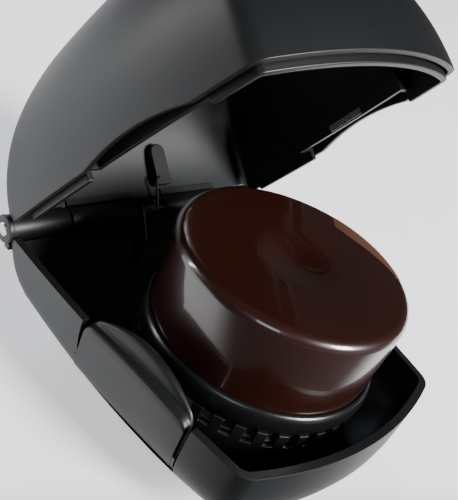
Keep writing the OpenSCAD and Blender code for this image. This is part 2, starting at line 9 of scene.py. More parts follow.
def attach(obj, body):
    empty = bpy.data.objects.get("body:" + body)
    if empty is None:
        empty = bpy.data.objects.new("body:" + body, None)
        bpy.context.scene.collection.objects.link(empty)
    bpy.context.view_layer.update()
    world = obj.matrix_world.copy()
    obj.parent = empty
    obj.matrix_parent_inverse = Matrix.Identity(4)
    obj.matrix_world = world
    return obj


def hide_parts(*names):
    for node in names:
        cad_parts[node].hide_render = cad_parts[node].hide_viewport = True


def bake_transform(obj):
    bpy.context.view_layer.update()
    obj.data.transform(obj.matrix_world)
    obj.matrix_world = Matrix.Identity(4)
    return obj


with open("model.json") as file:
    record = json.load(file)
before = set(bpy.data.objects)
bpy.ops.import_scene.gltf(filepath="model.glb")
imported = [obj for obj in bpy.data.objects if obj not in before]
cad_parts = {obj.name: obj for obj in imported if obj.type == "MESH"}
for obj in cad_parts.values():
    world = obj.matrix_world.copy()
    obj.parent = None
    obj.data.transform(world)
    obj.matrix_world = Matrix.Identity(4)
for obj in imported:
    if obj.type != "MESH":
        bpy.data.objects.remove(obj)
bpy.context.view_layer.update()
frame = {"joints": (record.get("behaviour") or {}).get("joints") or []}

# ---- Camera ----
# Stands off the hinge end's near corner, looks down on the seat, and leans to its left.
# Places are counted from the middle of the hinge axis, in halves of the shells' width.
hinge_joint = next(joint for joint in frame["joints"] if joint["name"] == "lid_hinge")
hinge = Vector(hinge_joint["pos_m"])
half_width = 44.0
MM = 0.001

camera_place = Vector((2.8201, -2.9623, 2.4648))
camera_right = Vector((0.618, 0.700, 0.357))
camera_ahead = Vector((-0.489, 0.698, -0.523))
camera_data = bpy.data.cameras.new("camera")
camera_data.lens = 51.84
camera_data.sensor_width = 36.0
camera = bpy.data.objects.new("camera", camera_data)
bpy.context.scene.collection.objects.link(camera)
right = camera_right.normalized()
ahead = (camera_ahead - right * camera_ahead.dot(right)).normalized()
up = right.cross(ahead)
turn = Matrix((right, up, -ahead)).transposed()
camera_stand = hinge + half_width * MM * camera_place
camera.matrix_world = Matrix.LocRotScale(camera_stand, turn.to_quaternion(), None)
bpy.context.scene.camera = camera


# ---- Floor and light ----
# A pale studio sheet, lit through from below, with painted shade: it is graded to dark grey in front of the
# machine, so that its black faces reflect dark and stay black. Soft boxes stand to the left, the right and
# the front, and a tall narrow one off the hinge's near corner.
def linear(code):
    """An sRGB hex colour as linear RGBA."""
    parts = [int(code[i:i + 2], 16) / 255 for i in (1, 3, 5)]
    return [c / 12.92 if c <= 0.04045 else ((c + 0.055) / 1.055) ** 2.4 for c in parts] + [1.0]


def add_node(tree, kind, settings=None, inputs=None):
    """A node with its settings, and its inputs set or linked."""
    made = tree.nodes.new(kind)
    for key, value in (settings or {}).items():
        setattr(made, key, value)
    for key, value in (inputs or {}).items():
        if isinstance(value, bpy.types.NodeSocket):
            tree.links.new(value, made.inputs[key])
        else:
            made.inputs[key].default_value = value
    return made


def new_material(name, **inputs):
    """A material with one shader, and its node tree. Underscores in an input's name stand for spaces."""
    material = bpy.data.materials.new(name)
    material.use_nodes = True
    shader = material.node_tree.nodes["Principled BSDF"]
    for key, value in inputs.items():
        shader.inputs[key.replace("_", " ")].default_value = value
    return material, material.node_tree, shader


def studio_box(name, place, target, width, height, watts, colour="#ffffff"):
    """A soft rectangular light that faces a point."""
    data = bpy.data.lights.new(name, "AREA")
    data.shape = "RECTANGLE"
    data.size, data.size_y = width, height
    data.energy = watts
    data.color = linear(colour)[:3]
    lamp = bpy.data.objects.new(name, data)
    bpy.context.scene.collection.objects.link(lamp)
    lamp.location = place
    lamp.rotation_euler = (Vector(target) - Vector(place)).to_track_quat("-Z", "Y").to_euler()
    return lamp


def floor_sheet():
    """A lit sheet that turns from near white to a painted shade of dark grey over 32 mm, just in front of the
    machine.
    """
    mesh = bpy.data.meshes.new("studio_floor")
    reach = 4.0
    corners = [(-reach, -reach, 0), (reach, -reach, 0), (reach, reach, 0), (-reach, reach, 0)]
    mesh.from_pydata(corners, [], [(0, 1, 2, 3)])
    sheet = bpy.data.objects.new("studio_floor", mesh)
    bpy.context.scene.collection.objects.link(sheet)
    material, tree, shader = new_material("matt studio paper with painted shade", Roughness=0.85)
    place = add_node(tree, "ShaderNodeTexCoord").outputs["Object"]
    grain = add_node(tree, "ShaderNodeTexNoise", inputs={"Vector": place, "Scale": 60.0, "Detail": 3.0})
    tint = add_node(tree, "ShaderNodeMix", {"data_type": "RGBA"},
                    {0: grain.outputs["Fac"], 6: linear("#f4f4f4"), 7: linear("#fbfbfb")})
    # Painted shade: the sheet is dark grey in front of the machine, so that the black faces reflect shade.
    towards_camera = (0.896, -0.444, 0.0)
    fade_start, fade_end = 0.040, 0.072
    distance = add_node(tree, "ShaderNodeVectorMath", {"operation": "DOT_PRODUCT"},
                        {0: place, 1: towards_camera})
    painted_shade = add_node(tree, "ShaderNodeMapRange", {"interpolation_type": "SMOOTHSTEP"},
                    {"Value": distance.outputs["Value"], "From Min": fade_start, "From Max": fade_end})
    paper_with_painted_shade = add_node(tree, "ShaderNodeMix", {"data_type": "RGBA"},
                      {0: painted_shade.outputs["Result"], 6: tint.outputs[2], 7: linear("#2c2d2f")})
    tree.links.new(paper_with_painted_shade.outputs[2], shader.inputs["Base Color"])
    tree.links.new(paper_with_painted_shade.outputs[2], shader.inputs["Emission Color"])
    shader.inputs["Emission Strength"].default_value = 0.7
    mesh.materials.append(material)


floor_sheet()
world = bpy.data.worlds.new("studio")
world.use_nodes = True
world.node_tree.nodes["Background"].inputs["Color"].default_value = linear("#eef1f5")
world.node_tree.nodes["Background"].inputs["Strength"].default_value = 0.05
bpy.context.scene.world = world
middle = (0.0, 0.0, 0.045)
studio_box("key box", (-1.2, 0.55, 0.8), middle, 0.8, 0.9, 10, "#dfeaff")
studio_box("side box", (1.3, 0.35, 0.8), (0.0, 0.1, 0.0), 0.4, 0.5, 60)
studio_box("strip box", (-0.75, -0.62, 0.3), middle, 0.07, 0.5, 3.2)
studio_box("front box", (0.75, -1.05, 0.95), middle, 0.5, 0.5, 4.5, "#e4ecf8")

# ---- Lid casing ----
# The lid's outer skin: one moulding in charcoal ABS, 1.6 mm thick, spark-eroded in the mould to an
# even satin. Its rim is rounded, notched over each squeeze tab and cut back round the hinge barrel.
shell_length = 91.3
side_radius, front_radius = 440.0, 98.0
front_corner, rear_corner = 5.0, 4.0
lid_open = math.radians(-hinge_joint["range_deg"][0])
lid_height, lid_wall = 47.7, 1.6
dome_powers = (2.24, 2.35, 2.37)
crown_x, corner_ease = 60.5, 0.2
rim_gap = 0.2
barrel_relief = 3.56
tab_start, tab_end, slit = 35.5, 68.9, 1.2
tab_mid, tab_half = (tab_start + tab_end) / 2, (tab_end - tab_start) / 2
window_half = tab_half + slit
tab_turn = math.atan(tab_mid / side_radius)

side_centre = Vector((0, half_width - side_radius))
front_centre = Vector((shell_length - front_radius, 0))


def bearing(a, b):
    return math.atan2(b[1] - a[1], b[0] - a[0])


def circles_meet(a, ra, b, rb):
    """The forward point where two circles cross."""
    gap = (b - a).length
    along = (ra * ra - rb * rb + gap * gap) / (2 * gap)
    aside = math.sqrt(ra * ra - along * along)
    e = (b - a) / gap
    return a + along * e + aside * Vector((e[1], -e[0]))


corner_centre = circles_meet(side_centre, side_radius - front_corner,
                             front_centre, front_radius - front_corner)
rear_reach = math.sqrt((side_radius - rear_corner) ** 2 - rear_corner ** 2)
rear_centre = Vector((rear_corner, side_centre[1] + rear_reach))
rear_angle, corner_angle = bearing(side_centre, rear_centre), bearing(side_centre, corner_centre)
front_angle = bearing(front_centre, corner_centre)


def arc(centre, r, start, end, steps):
    """Points round an arc, without its last one."""
    turns = [start + (end - start) * i / steps for i in range(steps)]
    return [(centre[0] + r * math.cos(t), centre[1] + r * math.sin(t)) for t in turns]


def side_y(x, inset):
    return side_centre[1] + math.sqrt((side_radius - inset) ** 2 - x * x)


def columns(inset):
    """The plan's outline drawn in by inset, anticlockwise from the middle of the hinge edge, with a
    point at each end of both tab windows."""
    step = 0.1
    start, end = tab_mid - window_half, tab_mid + window_half
    stops = [start - step, start, end, end + step]
    angles = [rear_angle] + [math.acos(x / side_radius) for x in stops] + [corner_angle]
    half = [(inset, rear_centre[1] * i / 6) for i in range(6)]
    half += arc(rear_centre, rear_corner - inset, math.pi, rear_angle, 6)
    for start, end, steps in zip(angles, angles[1:], (8, 1, 24, 1, 6)):
        half += arc(side_centre, side_radius - inset, start, end, steps)
    half += arc(corner_centre, front_corner - inset, corner_angle, front_angle, 7)
    half += arc(front_centre, front_radius - inset, front_angle, 0, 16)
    return half + [(shell_length - inset, 0)] + [(x, -y) for x, y in reversed(half[1:])]


def form_point(x, y, z, height, powers):
    """A point of the plan raised to z on a dome of this height."""
    s = min(1.0, z / height)
    fore = shell_length - crown_x if x > crown_x else crown_x
    q = Vector(((x - crown_x) / fore, y / half_width))
    r = q * (1 - corner_ease * s) + q.normalized() * corner_ease * s
    power = powers[0] if x > crown_x else powers[1]
    return Vector((crown_x + r[0] * fore * math.sqrt(max(0.0, 1 - s ** power)),
                   r[1] * half_width * math.sqrt(max(0.0, 1 - s ** powers[2])), z))


def skin(inset, height, powers, levels):
    """Rings of points from the rim to the crown. levels gives the heights for one column."""
    top = height - inset
    rings = [[form_point(x, y, z, top, powers) for z in levels(x, y, top)] for x, y in columns(inset)]
    return [list(ring) for ring in zip(*rings)], Vector((crown_x, 0, top))


def thick_shell(outer, inner, missing=lambda row, column: False):
    """Points and faces of a wall between two skins, open where cells are missing. A skin without a
    crown stays open at its last ring."""
    (rings, crown), (inner_rings, inner_crown) = outer, inner
    n, rows = len(rings[0]), len(rings)
    points = [p for ring in rings for p in ring] + ([crown] if crown else [])
    offset = len(points)
    points += [p for ring in inner_rings for p in ring] + ([inner_crown] if crown else [])
    cells = [(r * n + c, r * n + (c + 1) % n, (r + 1) * n + (c + 1) % n, (r + 1) * n + c)
             for r in range(rows - 1) for c in range(n) if not missing(r, c)]
    if crown:
        cells += [((rows - 1) * n + c, (rows - 1) * n + (c + 1) % n, rows * n) for c in range(n)]
    edges = {(a, b) for cell in cells for a, b in zip(cell, cell[1:] + cell[:1])}
    walls = [(b, a, a + offset, b + offset) for a, b in edges if (b, a) not in edges]
    return points, cells + [tuple(reversed([i + offset for i in cell])) for cell in cells] + sorted(walls)


def in_base(p):
    """A point in the base, counted in mm from the middle of the hinge axis, as a place in the frame."""
    return hinge + Vector(p) * MM


def in_lid(p):
    """The same for the open lid."""
    x, y, z = p
    return hinge + MM * Vector((x * math.cos(lid_open) - z * math.sin(lid_open), y,
                                x * math.sin(lid_open) + z * math.cos(lid_open)))


def make_piece(name, points, faces, material, body, slot, place=in_base, bevel=0.0, nodes=(), sharp=35.0):
    """A smooth-shaded piece with its edges rounded to bevel mm, riding on a body."""
    mesh = bpy.data.meshes.new(name)
    mesh.from_pydata([place(p) for p in points], [], faces)
    work = bmesh.new()
    work.from_mesh(mesh)
    bmesh.ops.remove_doubles(work, verts=work.verts, dist=1e-6)
    bmesh.ops.recalc_face_normals(work, faces=work.faces)
    work.to_mesh(mesh)
    work.free()
    for polygon in mesh.polygons:
        polygon.use_smooth = True
    mesh.materials.append(material)
    piece = bpy.data.objects.new(name, mesh)
    bpy.context.scene.collection.objects.link(piece)
    if bevel:
        rounding = piece.modifiers.new("rounding", "BEVEL")
        rounding.width = bevel * MM
        rounding.segments = 3
        rounding.limit_method = "ANGLE"
        rounding.angle_limit = math.radians(sharp)
        rounding.harden_normals = True
    else:
        mesh.set_sharp_from_angle(angle=math.radians(sharp))
    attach(piece, body)
    if nodes:
        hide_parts(*nodes)
    return piece


def satin_abs(name, light, dark, roughness):
    """ABS from a spark-eroded mould: an even satin with a fine grain. The grain is about 0.1 mm on
    the part, and is drawn at 0.3 mm so that it shows."""
    material, tree, shader = new_material(name, IOR=1.53, Metallic=0.0)
    place = add_node(tree, "ShaderNodeTexCoord").outputs["Object"]
    cloud_size, grain_size = 0.02, 0.0003
    cloud = add_node(tree, "ShaderNodeTexNoise",
                     inputs={"Vector": place, "Scale": 1 / cloud_size, "Detail": 4.0})
    tint = add_node(tree, "ShaderNodeMix", {"data_type": "RGBA"},
                    {0: cloud.outputs["Fac"], 6: linear(dark), 7: linear(light)})
    grain = add_node(tree, "ShaderNodeTexNoise",
                     inputs={"Vector": place, "Scale": 1 / grain_size, "Detail": 2.0})
    sheen = add_node(tree, "ShaderNodeMapRange", inputs={
        "Value": cloud.outputs["Fac"], "To Min": roughness - 0.03, "To Max": roughness + 0.04})
    bump = add_node(tree, "ShaderNodeBump",
                    inputs={"Height": grain.outputs["Fac"], "Strength": 0.12, "Distance": 0.00003})
    tree.links.new(tint.outputs[2], shader.inputs["Base Color"])
    tree.links.new(sheen.outputs["Result"], shader.inputs["Roughness"])
    tree.links.new(bump.outputs["Normal"], shader.inputs["Normal"])
    return material


charcoal_abs = satin_abs("charcoal ABS, satin moulded", "#0f1113", "#0b0d0f", 0.46)


def relief(x):
    """How high a skin must start at x to clear the hinge barrel."""
    return math.sqrt(max(0.0, barrel_relief ** 2 - x * x)) if x < barrel_relief else 0.0


def notch_rise(x, y):
    """Height of the shallow arch over a tab."""
    rise, reach = 2.1, tab_half - 0.6
    share = (x - tab_mid) / reach
    return rise * (1 - share * share) if abs(share) < 1 and abs(y) > half_width / 2 else 0.0


def lid_levels(x, y, top):
    rows = 34
    low = max(rim_gap, relief(x), rim_gap + notch_rise(x, y))
    return [low + (top - low) * math.sin(math.pi / 2 * i / rows) for i in range(rows)]


def dome(inset):
    return skin(inset, lid_height, dome_powers, lid_levels)


rim_bevel = 0.25
make_piece("lid_skin", *thick_shell(dome(0), dome(lid_wall)), charcoal_abs, "lid", "shell", in_lid, rim_bevel,
           ["lid_casing"])

# ---- Base casing ----
# The base's bowl: the same ABS, 2 mm thick, with a window in each side for a squeeze tab.
base_depth, base_wall = 22.0, 2.0
bowl_powers = (6.7, 2.87, 6.2)
window_floor = 15.0
upper_rows, lower_rows = 6, 14


def base_levels(x, y, top):
    """Heights below the rim: even ones down to the window's floor, then closer ones round the bottom."""
    low = max(rim_gap, relief(x))
    below = [math.sin(math.pi / 2 * i / lower_rows) for i in range(lower_rows)]
    return ([low + (window_floor - low) * i / upper_rows for i in range(upper_rows)]
            + [window_floor + (top - window_floor) * share for share in below])


def bowl(inset):
    rings, crown = skin(inset, base_depth, bowl_powers, base_levels)
    upside_down = [[Vector((p[0], p[1], -p[2])) for p in ring] for ring in rings]
    return upside_down, Vector((crown[0], 0, -crown[2]))


def in_window(x):
    """Whether x lies along a tab window, allowing for the rounding of its end columns."""
    return abs(x - tab_mid) < window_half + 0.06


outline = columns(0)
window_columns = {i for i, ((x, y), following) in enumerate(zip(outline, outline[1:] + outline[:1]))
                  if in_window(x) and in_window(following[0]) and abs(y) > half_width / 2}
make_piece("base_bowl", *thick_shell(bowl(0), bowl(base_wall),
                                     lambda row, column: row < upper_rows and column in window_columns),
           charcoal_abs, "base", "shell", in_base, rim_bevel, ["base_casing"])

# ---- Hinge barrel ----
# Four moulded ABS knuckles on a steel pin, each with rounded ends and a root on its shell's wall. The
# outer two belong to the base and the inner two to the lid. A half round cover on the base backs the
# spring between them.
barrel_r = 3.5
base_runs = ((-43.8, -27.0), (27.0, 43.8))
lid_runs = ((-26.65, -5.5), (5.5, 26.65))


def lathe(profile, centre=(0, 0), steps=96):
    """Points and faces of a closed profile of radius and height turned round an upright axis."""
    n = len(profile)
    turns = [2 * math.pi * k / steps for k in range(steps)]
    points = [(centre[0] + r * math.cos(t), centre[1] + r * math.sin(t), z)
              for t in turns for r, z in profile]
    faces = [(k * n + i, k * n + (i + 1) % n, (k + 1) % steps * n + (i + 1) % n, (k + 1) % steps * n + i)
             for k in range(steps) for i in range(n)]
    return points, faces


def on_hinge(mesh):
    """A turned mesh laid along the hinge axis."""
    return [(x, -z, y) for x, y, z in mesh[0]], mesh[1]


def prism(outline, low, high):
    """Points and faces of an outline of x and y raised from low to high."""
    n = len(outline)
    points = [(x, y, low) for x, y in outline] + [(x, y, high) for x, y in outline]
    sides = [(i, (i + 1) % n, n + (i + 1) % n, n + i) for i in range(n)]
    return points, sides + [tuple(range(n)), tuple(range(2 * n - 1, n - 1, -1))]


def joined(*meshes):
    """Several meshes as one."""
    points, faces = [], []
    for more, cells in meshes:
        faces += [tuple(i + len(points) for i in cell) for cell in cells]
        points += list(more)
    return points, faces


def knuckle(run, foot):
    """A tube with rounded ends along the hinge, and the block that roots it in its shell, below the
    axis (foot -1) or above it (foot 1)."""
    start, end = -run[1], -run[0]
    bore, round_end, chamfer = 1.06, 0.35, 0.1
    tube = lathe([(bore, start), (barrel_r - round_end, start), (barrel_r - chamfer, start + chamfer),
                  (barrel_r, start + round_end), (barrel_r, end - round_end),
                  (barrel_r - chamfer, end - chamfer), (barrel_r - round_end, end), (bore, end)], steps=64)
    back, front, near, far = 0.6, 2.5, 3.2, 4.9
    block = [(back, run[0]), (front, run[0]), (front, run[1]), (back, run[1])]
    root = prism(block, *sorted((near * foot, far * foot)))
    return joined(on_hinge(tube), root)


def half_tube(outer, inner, half, angles, steps=24):
    """A curved plate along the hinge between two angles."""
    turns = [math.radians(angles[0] + (angles[1] - angles[0]) * i / steps) for i in range(steps + 1)]
    rim = [(outer * math.cos(t), outer * math.sin(t)) for t in turns]
    rim += [(inner * math.cos(t), inner * math.sin(t)) for t in reversed(turns)]
    points, faces = prism(rim, -half, half)
    return [(x, z, y) for x, y, z in points], faces


make_piece("base_knuckles", *joined(*(knuckle(run, -1) for run in base_runs)),
           charcoal_abs, "base", "shell", nodes=["base_knuckle_near", "base_knuckle_far"])
make_piece("lid_knuckles", *joined(*(knuckle(run, 1) for run in lid_runs)),
           charcoal_abs, "lid", "shell", in_lid, nodes=["lid_knuckle_near", "lid_knuckle_far"])
cover_inner_r, cover_half = 3.05, 5.35
make_piece("spring_shroud", *half_tube(barrel_r, cover_inner_r, cover_half, (88, 300)), charcoal_abs, "base",
           "shell", bevel=0.1, nodes=["spring_cover"])

# ---- Pin caps ----
# A small ABS button over each end of the barrel, pressed on the pin. The pin's end shows as a low
# dome of turned steel in its middle.


def worked_metal(name, roughness, colour="#c8c9cb"):
    """Turned, rolled or drawn metal: fine marks that dull it unevenly, drawn at 0.4 mm so that they show."""
    material, tree, shader = new_material(name, Base_Color=linear(colour), Metallic=1.0)
    place = add_node(tree, "ShaderNodeTexCoord").outputs["Object"]
    line_width = 0.0004
    lines = add_node(tree, "ShaderNodeTexNoise",
                     inputs={"Vector": place, "Scale": 1 / line_width, "Detail": 2.0})
    dull = add_node(tree, "ShaderNodeMapRange", inputs={
        "Value": lines.outputs["Fac"], "To Min": roughness - 0.08, "To Max": roughness + 0.08})
    tree.links.new(dull.outputs["Result"], shader.inputs["Roughness"])
    return material


bright_steel = worked_metal("turned stainless steel", 0.26)


cap_start, cap_end = 43.85, 44.9
on_axis = 0.001


def cap_profile():
    """A disc with a rounded rim and a shallow seat for the pin's head."""
    hole, rim, round_rim, seat = 0.9, 3.6, 0.45, 0.15
    return [(hole, cap_start), (rim, cap_start), (rim, cap_end - round_rim), (rim - 0.12, cap_end - seat),
            (rim - round_rim, cap_end), (2.0 + seat, cap_end), (2.0, cap_end - seat), (hole, cap_end - seat)]


def pin_head():
    """The riveted end of the pin."""
    head_r, rise, start = 1.85, 0.55, cap_end - 0.1
    turns = [math.radians(a) for a in range(0, 90, 9)]
    rounded = [(head_r * math.cos(t), start + rise * math.sin(t)) for t in turns]
    return [(on_axis, start - 0.4), (head_r, start - 0.4)] + rounded + [(on_axis, start + rise)]


for side, name in ((1, "near"), (-1, "far")):
    cap = [(r, side * z) for r, z in cap_profile()]
    head = [(r, side * z) for r, z in pin_head()]
    make_piece("cap_button_" + name, *on_hinge(lathe(cap, steps=64)), charcoal_abs, "base", "shell",
               nodes=["pin_cap_" + name])
    make_piece("pin_head_" + name, *on_hinge(lathe(head, steps=48)), bright_steel, "base", "steel")

# ---- Torsion spring ----
# Oiled music wire, 0.8 mm thick, wound round the pin: a smooth-shaded copy of the CAD spring, which stays
# where it is and does not twist as the lid turns.


def twisting_spring(material):
    wire = bpy.data.objects["torsion_spring"]
    mesh = wire.data.copy()
    mesh.transform(wire.matrix_world)
    mesh.materials.clear()
    mesh.materials.append(material)
    for polygon in mesh.polygons:
        polygon.use_smooth = True
    coil = bpy.data.objects.new("spring_wire", mesh)
    bpy.context.scene.collection.objects.link(coil)
    coil_half = 2.3
    in_base((0, -coil_half, 0))
    in_base((0, coil_half, 0))
    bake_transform(coil)
    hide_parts("torsion_spring")


twisting_spring(worked_metal("oiled spring wire", 0.3, "#55565a"))

# ---- Spring pads ----
# A moulded paddle on each hinge wall, in the black ABS of the inner parts. A leg of the spring
# bears on its flat face.
black_abs = satin_abs("black ABS, satin moulded", "#0e0f11", "#090a0b", 0.45)


def paddle(length, lean, flip):
    """A bar with a round end, standing beside the spring and leaning into the shell. flip is 1 for the
    lid's, above the axis, and -1 for the base's, below it and on the coil's other side."""
    half, middle_y, start = 2.5, 5.8, 6.0
    back, face = 1.25, 4.45
    tip = start + length - half
    turns = [math.radians(a) for a in range(0, 181, 12)]
    bar = [(middle_y - half, start), (middle_y + half, start)]
    bar += [(middle_y + half * math.cos(t), tip + half * math.sin(t)) for t in turns]
    points, faces = prism(bar, back, face)
    c, s = math.cos(math.radians(lean)), math.sin(math.radians(lean))
    leaning = [(z * c + y * s, x, y * c - z * s) for x, y, z in points]
    return [(x, flip * y, flip * z) for x, y, z in leaning], faces


make_piece("base_paddle", *paddle(9.5, 20, -1), black_abs, "base", "liner", bevel=0.3,
           nodes=["base_spring_pad"])
make_piece("lid_paddle", *paddle(12, 8, 1), black_abs, "lid", "liner", in_lid, 0.3, ["lid_spring_pad"])

# ---- Seat ring ----
# The castellated ring the capsule's seat stands in: black ABS, 1 mm thick, with a row of merlons
# whose top edges are rounded off.
pod_x = 51.7
merlons, first_merlon = 36, 1.3


def castle(inner, outer, heights):
    """A tube with merlons. heights are those of its foot, of the gaps and of the merlons' tops."""
    quarters = (-0.5, 0.0, 0.5, 1.0)
    turns = [math.radians(first_merlon + (k * 2 + o) * 180 / merlons)
             for k in range(merlons) for o in quarters]

    def wall(r):
        return [[Vector((pod_x + r * math.cos(t), r * math.sin(t), z)) for t in turns] for z in heights], None

    return thick_shell(wall(outer), wall(inner), lambda row, column: row == 1 and column % 4 > 1)


make_piece("castellated_ring", *castle(29.6, 30.6, (-16, -8.4, -4.4)), black_abs, "base", "liner",
           bevel=0.18, nodes=["seat_ring"])

# ---- Seat gasket ----
# A moulded seal of black EPDM rubber, slightly shiny: a ledge under the capsule's foot and a
# bulging collar round it.


def soft_rubber(name, roughness):
    """Cured rubber: near black, an even low sheen, and a very slight waviness some 4 mm long."""
    material, tree, shader = new_material(name, IOR=1.52, Roughness=roughness)
    place = add_node(tree, "ShaderNodeTexCoord").outputs["Object"]
    wave = 0.004
    cloud = add_node(tree, "ShaderNodeTexNoise", inputs={"Vector": place, "Scale": 1 / wave, "Detail": 3.0})
    tint = add_node(tree, "ShaderNodeMix", {"data_type": "RGBA"},
                    {0: cloud.outputs["Fac"], 6: linear("#0d0d0e"), 7: linear("#161617")})
    bump = add_node(tree, "ShaderNodeBump",
                    inputs={"Height": cloud.outputs["Fac"], "Strength": 0.15, "Distance": 0.0002})
    tree.links.new(tint.outputs[2], shader.inputs["Base Color"])
    tree.links.new(bump.outputs["Normal"], shader.inputs["Normal"])
    return material


black_rubber = soft_rubber("black EPDM rubber", 0.27)


def gasket_profile():
    """The ledge, from its foot on the cup's rim to the capsule's foot, and the collar's bulge."""
    ledge_r, cup_r, pod_side_r, collar_r = 23, 29.3, 29.7, 29.8
    foot, ledge_top, collar_middle = -5.4, -0.6, -1
    bulge, collar_half = 1.4, 3
    turns = [math.radians(a) for a in range(-90, 91, 9)]
    collar = [(collar_r + bulge * math.cos(t), collar_middle + collar_half * math.sin(t)) for t in turns]
    return ([(ledge_r, foot), (cup_r, foot), (cup_r, collar[0][1])] + collar
            + [(pod_side_r, 1.9), (pod_side_r, ledge_top), (ledge_r, ledge_top)])


make_piece("gasket_collar", *lathe(gasket_profile(), (pod_x, 0), 144), black_rubber, "base", "rubber",
           nodes=["seat_gasket"])

# ---- Pod ----
# The capsule: drawn aluminium lacquered a very dark glossy brown, with a rounded shoulder and a
# shallow dished top that has a dimple in its middle.


def gloss_lacquer(name, colour, deep):
    """Dark lacquer over metal: a clear coat over a darker, softer ground with a faint orange peel
    some 2 mm across."""
    material, tree, shader = new_material(name, Roughness=0.3, IOR=1.5, Coat_Weight=1.0, Coat_Roughness=0.06)
    place = add_node(tree, "ShaderNodeTexCoord").outputs["Object"]
    cloud_size, peel_size = 0.015, 0.002
    cloud = add_node(tree, "ShaderNodeTexNoise",
                     inputs={"Vector": place, "Scale": 1 / cloud_size, "Detail": 3.0})
    tint = add_node(tree, "ShaderNodeMix", {"data_type": "RGBA"},
                    {0: cloud.outputs["Fac"], 6: linear(deep), 7: linear(colour)})
    peel = add_node(tree, "ShaderNodeTexNoise",
                    inputs={"Vector": place, "Scale": 1 / peel_size, "Detail": 1.0})
    bump = add_node(tree, "ShaderNodeBump",
                    inputs={"Height": peel.outputs["Fac"], "Strength": 0.04, "Distance": 0.0002})
    tree.links.new(tint.outputs[2], shader.inputs["Base Color"])
    tree.links.new(bump.outputs["Normal"], shader.inputs["Coat Normal"])
    return material


capsule_lacquer = gloss_lacquer("dark brown lacquered aluminium", "#2e120c", "#220d08")
pod_top, pod_foot, pod_wall = 24.0, -0.5, 1.2
pod_top_r, pod_foot_r, shoulder_r = 30.0, 29.4, 2.6
pod_edge = pod_top_r - shoulder_r


def pod_crown(r):
    """Height of the top: a shallow dish with a dimple."""
    dish_depth, dimple_depth, dimple_r = 0.9, 1.5, 12
    dish = dish_depth * math.cos(math.pi / 2 * min(1, r / pod_edge)) ** 2
    dimple = dimple_depth * (1 + math.cos(math.pi * r / dimple_r)) / 2 if r < dimple_r else 0
    return pod_top - dish - dimple


def shoulder_point(degrees, lift=0.0):
    """A point on the shoulder's arc, degrees up from level, lifted off the lacquer."""
    t = math.radians(degrees)
    r = shoulder_r + lift
    return pod_edge + r * math.cos(t), pod_top - shoulder_r + r * math.sin(t)


def pod_profile():
    """The side, shoulder and top outside, and a simple wall line inside."""
    rings = 40
    shoulder = [shoulder_point(a) for a in range(0, 91, 6)]
    top = [(pod_edge * (1 - i / rings), pod_crown(pod_edge * (1 - i / rings))) for i in range(1, rings)]
    inside = [(on_axis, pod_crown(0) - pod_wall), (pod_edge - 0.5, pod_top - 1.3),
              (pod_top_r - pod_wall, pod_top - 3.6), (pod_foot_r - pod_wall, pod_foot)]
    return [(pod_foot_r, pod_foot)] + shoulder + top + [(on_axis, pod_crown(0))] + inside


make_piece("capsule_shell", *lathe(pod_profile(), (pod_x, 0), 160), capsule_lacquer, "base", "capsule",
           nodes=["pod_shell"], sharp=50)

# ---- Painted reflection on the pod ----
# A painted reflection: a sliver of copper-coloured metal on the capsule's far shoulder, lapped 0.05 mm over
# the lacquer, standing for a warm reflection there.


def reflection_line(degrees, lift):
    """One line of the painted reflection's face, from its inner edge over the shoulder."""
    inner_r, narrow_from, spike_from = 23.6, 95, 107
    narrowing = 4.0 * max(0.0, (narrow_from - degrees) / 37) ** 1.3
    start = inner_r + narrowing + 0.75 * max(0.0, degrees - spike_from)
    flat = [start + (pod_edge - start) * i / 5 for i in range(6)]
    line = [(r, pod_crown(r) + lift) for r in flat]
    line += [shoulder_point(90 - a, lift) for a in range(12, 61, 12)]
    t = math.radians(degrees)
    return [(pod_x + r * math.cos(t), r * math.sin(t), z) for r, z in line]


def reflection_patch():
    """A thin curved plate: an outer face, an inner face and the walls between their edges."""
    lap = 0.05
    turns = [58 + 1.5 * i for i in range(37)]
    points = [p for lift in (lap, -lap) for t in turns for p in reflection_line(t, lift)]
    n = len(reflection_line(turns[0], lap))
    cells = [(k * n + i, k * n + i + 1, (k + 1) * n + i + 1, (k + 1) * n + i)
             for k in range(len(turns) - 1) for i in range(n - 1)]
    edges = {(a, b) for cell in cells for a, b in zip(cell, cell[1:] + cell[:1])}
    half = len(points) // 2
    walls = [(b, a, a + half, b + half) for a, b in sorted(edges) if (b, a) not in edges]
    return points, cells + [tuple(i + half for i in reversed(cell)) for cell in cells] + walls


# The copper-tinted patch made here is a painted reflection on the capsule's far shoulder.
make_piece("painted_reflection_sliver", *reflection_patch(), worked_metal("copper-tinted painted reflection", 0.5, "#c08a72"), "base", "foil")

# ---- Squeeze tabs ----
# The two tabs pressed to open the lid: charcoal ABS like the casing, flush with it below the rim
# and rising to a curved lug with a rounded crest.
crest, tab_wall, tab_lug = 5.5, 2.4, 2.1
tab_gap = 0.35
tab_floor = tab_gap - window_floor


def lean_in(z):
    """How far the bowl's wall leans in at height z, at the middle of the tab."""
    return 0.0 if z >= 0 else side_y(tab_mid, 0) * (1 - math.sqrt(1 - (-z / base_depth) ** bowl_powers[2]))


def bow_at(u):
    """How far the side's arc falls back from its tangent at u along the tab's chord."""
    return side_radius - math.sqrt(side_radius ** 2 - u * u)


